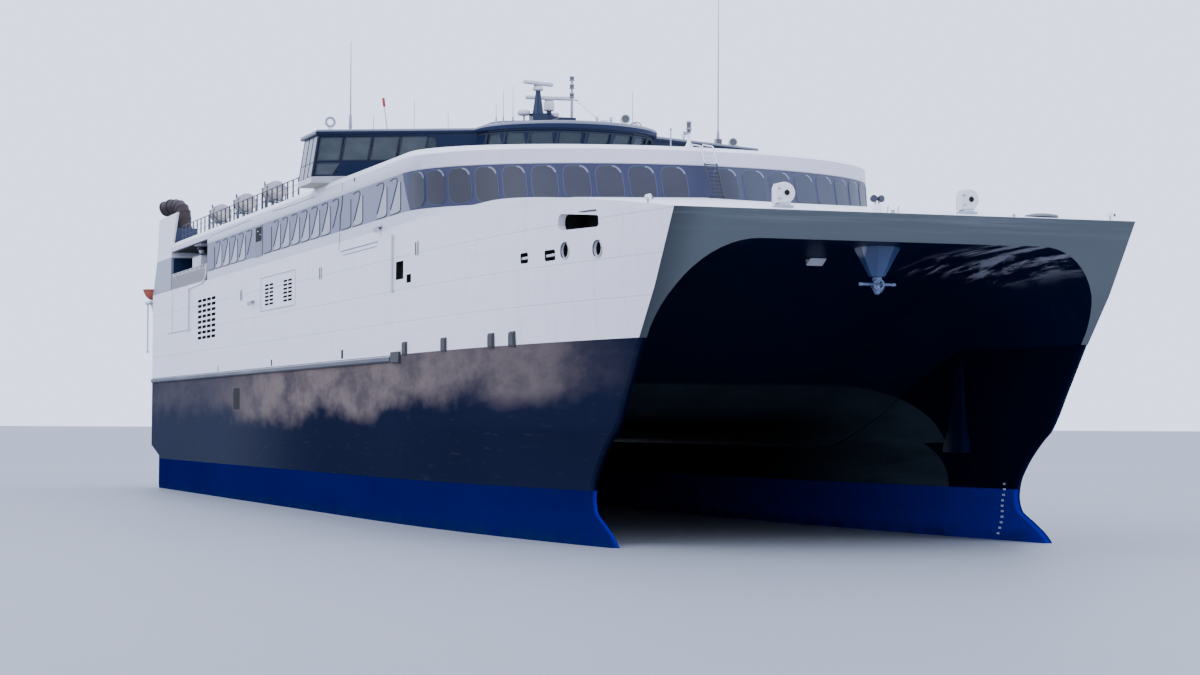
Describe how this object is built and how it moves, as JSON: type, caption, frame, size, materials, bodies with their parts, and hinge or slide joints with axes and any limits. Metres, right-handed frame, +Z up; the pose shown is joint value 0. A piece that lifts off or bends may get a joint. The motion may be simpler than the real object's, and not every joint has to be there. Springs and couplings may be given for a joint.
{
  "type": "passenger ferry, high-speed catamaran, 1:10 scale model",
  "caption": "Scale model of a fast car and passenger catamaran with arched bow mouth, vehicle deck, stern ramp, wheelhouse with wings and steerable waterjets.",
  "frame": {"origin": "amidships on the centreline at the waterline", "axes": "+X forward to the bow, +Y to port, +Z up"},
  "size_m": [10.9459, 2.57, 3.365],
  "materials": {
    "white_paint": "off-white marine paint on aluminium, satin, weathered",
    "navy_paint": "deep navy gloss",
    "bottom_paint": "navy topsides over royal blue antifouling, worn at the fender line",
    "deck_paint": "matt grey deck paint",
    "tinted_glazing": "tinted panes behind blue mullions, light blue-grey panels aft",
    "roof_paint": "pale blue-grey satin",
    "grey_metal": "bare and grey-painted aluminium",
    "jet_metal": "machined stainless steel",
    "exhaust_metal": "heat-browned pipe lagging",
    "boat_orange": "orange moulded hull"
  },
  "bodies": {
    "hull": {"aft_house": "navy_paint", "anchor": "roof_paint", "boat_platform": "white_paint", "bow_module": "white_paint", "bridging_haunch_port": "navy_paint", "bridging_haunch_starboard": "navy_paint", "bridging_structure": "navy_paint", "davit_post": "white_paint", "demihull_port": "bottom_paint", "demihull_starboard": "bottom_paint", "exhaust_elbow_port": "exhaust_metal", "exhaust_elbow_starboard": "exhaust_metal", "foremast": "white_paint", "front_apron": "white_paint", "front_ladder": "grey_metal", "horn_unit_port": "white_paint", "horn_unit_starboard": "white_paint", "jet_housing_inner_port": "jet_metal", "jet_housing_inner_starboard": "jet_metal", "jet_housing_outer_port": "jet_metal", "jet_housing_outer_starboard": "jet_metal", "life_raft_rack_port": "white_paint", "life_raft_rack_starboard": "white_paint", "light_mast": "grey_metal", "passenger_deck": "deck_paint", "passenger_house": "tinted_glazing", "radar_mast": "navy_paint", "recess_bulwark_port": "grey_metal", "recess_bulwark_starboard": "grey_metal", "rescue_boat": "boat_orange", "roof_deck": "white_paint", "roof_rail_port": "grey_metal", "roof_rail_starboard": "grey_metal", "stern_frame": "white_paint", "stern_tower_port": "white_paint", "stern_tower_starboard": "white_paint", "vehicle_deck": "deck_paint", "vehicle_deck_side_port": "white_paint", "vehicle_deck_side_starboard": "white_paint", "wheelhouse_floor": "white_paint", "wheelhouse_roof": "roof_paint", "wheelhouse_walls": "navy_paint", "whip_aerial_port": "grey_metal", "whip_aerial_starboard": "grey_metal"},
    "radar_upper": {"radar_scanner_upper": "white_paint"},
    "radar_lower": {"radar_scanner_lower": "white_paint"},
    "ramp": {"stern_ramp": "white_paint"},
    "davit": {"davit_arm": "white_paint"},
    "nozzle_inner_port": {"jet_nozzle_inner_port": "jet_metal"},
    "bucket_inner_port": {"jet_bucket_inner_port": "jet_metal"},
    "nozzle_inner_starboard": {"jet_nozzle_inner_starboard": "jet_metal"},
    "bucket_inner_starboard": {"jet_bucket_inner_starboard": "jet_metal"},
    "nozzle_outer_port": {"jet_nozzle_outer_port": "jet_metal"},
    "bucket_outer_port": {"jet_bucket_outer_port": "jet_metal"},
    "nozzle_outer_starboard": {"jet_nozzle_outer_starboard": "jet_metal"},
    "bucket_outer_starboard": {"jet_bucket_outer_starboard": "jet_metal"}
  },
  "joints": [
    {"name": "radar_upper_spin", "type": "hinge", "parent": "hull", "child": "radar_upper", "pos_m": [0.72, -0.048, 2.35], "axis": [0, 0, 1], "continuous": true},
    {"name": "radar_lower_spin", "type": "hinge", "parent": "hull", "child": "radar_lower", "pos_m": [0.6, 0.054, 2.287], "axis": [0, 0, 1], "continuous": true},
    {"name": "stern_ramp_hinge", "type": "hinge", "parent": "hull", "child": "ramp", "pos_m": [-5.3875, 0, 0.84], "axis": [0, -1, 0], "range_deg": [0, 95]},
    {"name": "davit_slew", "type": "hinge", "parent": "hull", "child": "davit", "pos_m": [-5.52, -0.83, 1.49], "axis": [0, 0, 1], "range_deg": [-110, 10]},
    {"name": "steer_outer_port", "type": "hinge", "parent": "hull", "child": "nozzle_outer_port", "pos_m": [-5.145, 1.062, 0.01], "axis": [0, 0, 1], "range_deg": [-30, 30]},
    {"name": "reverse_outer_port", "type": "hinge", "parent": "nozzle_outer_port", "child": "bucket_outer_port", "pos_m": [-5.23, 1.062, 0.01], "axis": [0, -1, 0], "range_deg": [0, 60]},
    {"name": "steer_inner_port", "type": "hinge", "parent": "hull", "child": "nozzle_inner_port", "pos_m": [-5.145, 0.852, 0.01], "axis": [0, 0, 1], "range_deg": [-30, 30]},
    {"name": "reverse_inner_port", "type": "hinge", "parent": "nozzle_inner_port", "child": "bucket_inner_port", "pos_m": [-5.23, 0.852, 0.01], "axis": [0, -1, 0], "range_deg": [0, 60]},
    {"name": "steer_outer_starboard", "type": "hinge", "parent": "hull", "child": "nozzle_outer_starboard", "pos_m": [-5.145, -1.062, 0.01], "axis": [0, 0, 1], "range_deg": [-30, 30]},
    {"name": "reverse_outer_starboard", "type": "hinge", "parent": "nozzle_outer_starboard", "child": "bucket_outer_starboard", "pos_m": [-5.23, -1.062, 0.01], "axis": [0, -1, 0], "range_deg": [0, 60]},
    {"name": "steer_inner_starboard", "type": "hinge", "parent": "hull", "child": "nozzle_inner_starboard", "pos_m": [-5.145, -0.852, 0.01], "axis": [0, 0, 1], "range_deg": [-30, 30]},
    {"name": "reverse_inner_starboard", "type": "hinge", "parent": "nozzle_inner_starboard", "child": "bucket_inner_starboard", "pos_m": [-5.23, -0.852, 0.01], "axis": [0, -1, 0], "range_deg": [0, 60]}
  ],
  "couplings": [
    {"joint": "steer_inner_port", "follows": "steer_outer_port", "ratio": 1},
    {"joint": "steer_inner_starboard", "follows": "steer_outer_starboard", "ratio": 1}
  ]
}
